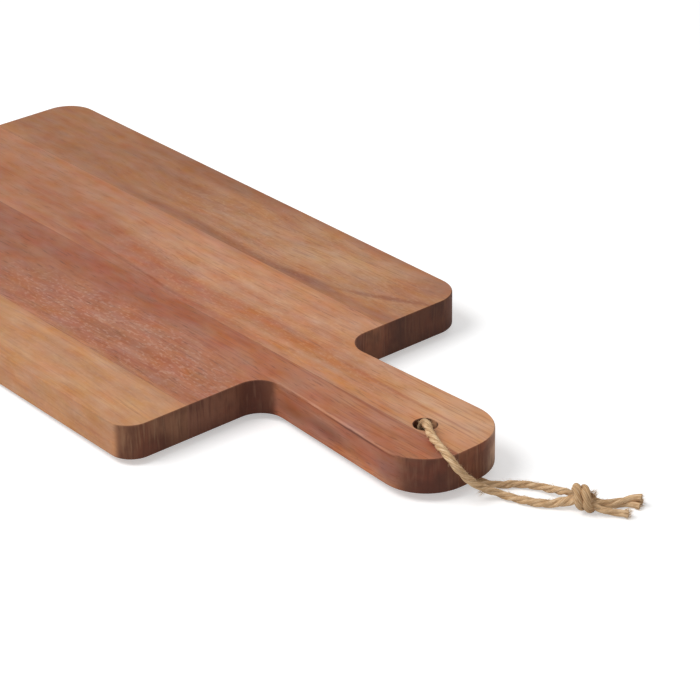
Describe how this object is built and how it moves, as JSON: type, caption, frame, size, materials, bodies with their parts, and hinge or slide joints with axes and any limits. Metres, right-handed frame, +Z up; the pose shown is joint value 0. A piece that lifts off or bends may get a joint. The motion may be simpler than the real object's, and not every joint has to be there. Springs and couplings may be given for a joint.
{
  "type": "serving board",
  "caption": "Flat wooden serving board of edge-glued acacia staves with a flared paddle handle and a knotted jute cord through its hanging hole.",
  "frame": {"origin": "on the table, under the middle of the board's length and width, the cord left out", "axes": "+X along the board towards the handle's tip, +Y across it towards the far edge stave, +Z up from the table"},
  "size_m": [0.4333, 0.176, 0.0226],
  "materials": {
    "near_edge_wood": "oiled, matte, pale tan acacia",
    "near_handle_wood": "oiled, matte, reddish acacia",
    "far_handle_wood": "oiled, matte, orange-tan acacia",
    "far_edge_wood": "oiled, matte, brown acacia",
    "glue": "dried wood glue, sanded flush",
    "cord": "twisted natural jute, fibrous"
  },
  "bodies": {
    "root": {"near_edge_stave": "near_edge_wood", "near_glue_line": "glue", "near_handle_stave": "near_handle_wood", "middle_glue_line": "glue", "far_handle_stave": "far_handle_wood", "far_glue_line": "glue", "far_edge_stave": "far_edge_wood", "cord_through_hole": "cord", "cord_under_handle": "cord", "cord_knot": "cord", "cord_long_tail": "cord", "cord_short_tail": "cord"}
  },
  "joints": []
}
